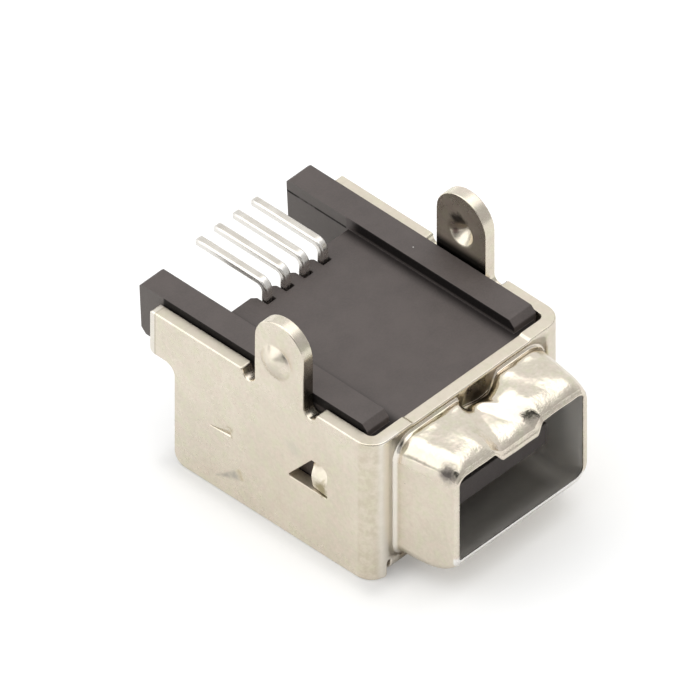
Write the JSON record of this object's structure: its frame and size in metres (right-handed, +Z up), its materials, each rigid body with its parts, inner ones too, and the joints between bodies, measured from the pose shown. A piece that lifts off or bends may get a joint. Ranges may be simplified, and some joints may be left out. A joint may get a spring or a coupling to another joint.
{
  "type": "four-contact serial bus socket",
  "caption": "Right-angle board socket: folded nickel shell with a drawn, keyed nose and board ears around a black moulded housing with gull-wing contact tails.",
  "frame": {"origin": "centre of the part's bounding box, on the roof of the shell that it lies on", "axes": "+Z up towards the board side, +Y from the plug mouth to the contact tails, +X across the contacts"},
  "size_m": [0.0088, 0.0122, 0.008],
  "materials": {
    "shell_nickel": "satin nickel plate, warm and slightly stained, polished on the drawn nose and the cut edges",
    "housing_plastic": "fine-grained black-grey moulding",
    "contact_tin": "bright tin plate over copper alloy"
  },
  "bodies": {
    "root": {"shell": "shell_nickel", "housing": "housing_plastic", "contact_1": "contact_tin", "contact_2": "contact_tin", "contact_3": "contact_tin", "contact_4": "contact_tin"}
  },
  "joints": []
}
